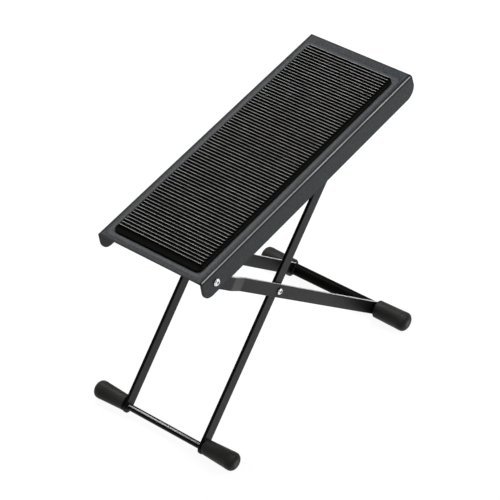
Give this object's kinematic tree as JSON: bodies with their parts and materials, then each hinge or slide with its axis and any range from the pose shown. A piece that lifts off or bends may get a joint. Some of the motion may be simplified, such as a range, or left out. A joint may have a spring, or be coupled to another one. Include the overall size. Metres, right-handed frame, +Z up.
{
  "type": "guitar footrest",
  "caption": "Folding guitar footrest: sloping steel plate with a ribbed rubber mat on crossed flat steel legs, rubber-capped cross feet and a notched height latch.",
  "frame": {"origin": "middle of the object's bounding box, on the floor that its four rubber caps stand on", "axes": "+Z up, +X towards the high end of the foot plate, +Y across it to the left side, standing open at its highest setting"},
  "size_m": [0.304, 0.176, 0.2676],
  "materials": {
    "plate_paint": "dark grey powder coat, satin",
    "leg_paint": "black powder coat, satin",
    "rod_enamel": "black enamel, gloss",
    "bright_rivet": "bright nickel plate",
    "mat_rubber": "black ribbed rubber, semi-matte",
    "cap_rubber": "black moulded rubber, semi-matte"
  },
  "bodies": {
    "platform": {"foot_plate": "plate_paint", "rubber_mat": "mat_rubber", "notch_rack_left": "leg_paint", "notch_rack_right": "leg_paint", "plate_rivet_left": "bright_rivet", "plate_rivet_right": "bright_rivet", "plate_rivet_washer_left": "bright_rivet", "plate_rivet_washer_right": "bright_rivet"},
    "rear_legs": {"rear_leg_strip_left": "leg_paint", "rear_leg_strip_right": "leg_paint", "rear_cross_tube": "leg_paint", "rear_foot_cap_left": "cap_rubber", "rear_foot_cap_right": "cap_rubber", "scissor_rivet_left": "bright_rivet", "scissor_rivet_right": "bright_rivet", "scissor_spacer_left": "leg_paint", "scissor_spacer_right": "leg_paint"},
    "front_legs": {"front_leg_bar_left": "leg_paint", "front_leg_bar_right": "leg_paint", "front_cross_rod": "rod_enamel", "latch_rod": "rod_enamel", "front_foot_cap_left": "cap_rubber", "front_foot_cap_right": "cap_rubber"}
  },
  "joints": [
    {"name": "rear_leg_fold", "type": "hinge", "parent": "platform", "child": "rear_legs", "pos_m": [-0.13191, 0, 0.19953], "axis": [0, -1, 0], "range_deg": [0, 47.8]},
    {"name": "front_leg_scissor", "type": "hinge", "parent": "rear_legs", "child": "front_legs", "pos_m": [-0.03527, 0, 0.12689], "axis": [0, 1, 0], "range_deg": [0, 86.7]}
  ],
  "couplings": [
    {"joint": "front_leg_scissor", "follows": "rear_leg_fold", "ratio": 1.8133}
  ]
}
